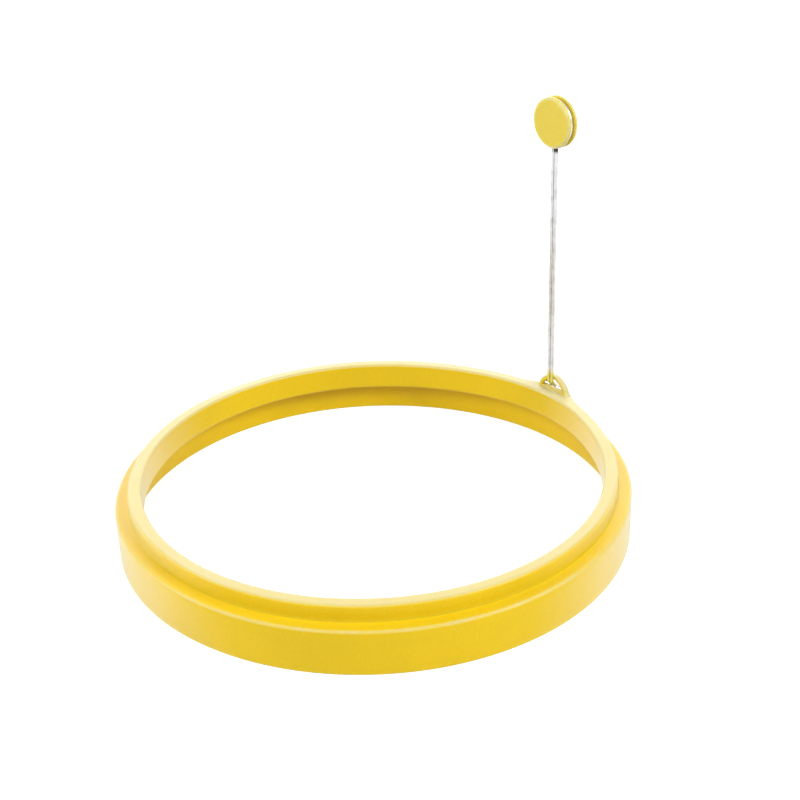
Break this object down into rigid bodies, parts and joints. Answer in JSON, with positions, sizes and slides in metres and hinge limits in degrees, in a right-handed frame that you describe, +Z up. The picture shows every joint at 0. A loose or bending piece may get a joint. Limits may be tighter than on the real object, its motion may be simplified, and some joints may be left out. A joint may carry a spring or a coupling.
{
  "type": "egg ring",
  "caption": "Stepped silicone egg ring with a fold-down wire handle that ends in a grooved silicone grip.",
  "frame": {"origin": "on the ring's axis, in the plane of its lower face, which is what it stands on", "axes": "+Z up along the ring's axis, +Y from the axis toward the ear that holds the handle, +X along the line that the handle folds about"},
  "size_m": [0.15, 0.15, 0.1135],
  "materials": {
    "yellow_silicone": "satin moulded food-grade silicone, bright yellow",
    "bright_steel": "bright drawn stainless steel wire"
  },
  "bodies": {
    "ring": {"silicone_ring": "yellow_silicone"},
    "handle": {"wire_handle": "bright_steel"},
    "grip": {"grip_knob": "yellow_silicone"}
  },
  "joints": [
    {"name": "handle_fold", "type": "hinge", "parent": "ring", "child": "handle", "pos_m": [0, 0.0732, 0.0196], "axis": [1, 0, 0], "range_deg": [0, 62]},
    {"name": "grip_turn", "type": "hinge", "parent": "handle", "child": "grip", "pos_m": [0, 0.0714, 0.1059], "axis": [0, 1, 0], "continuous": true}
  ]
}
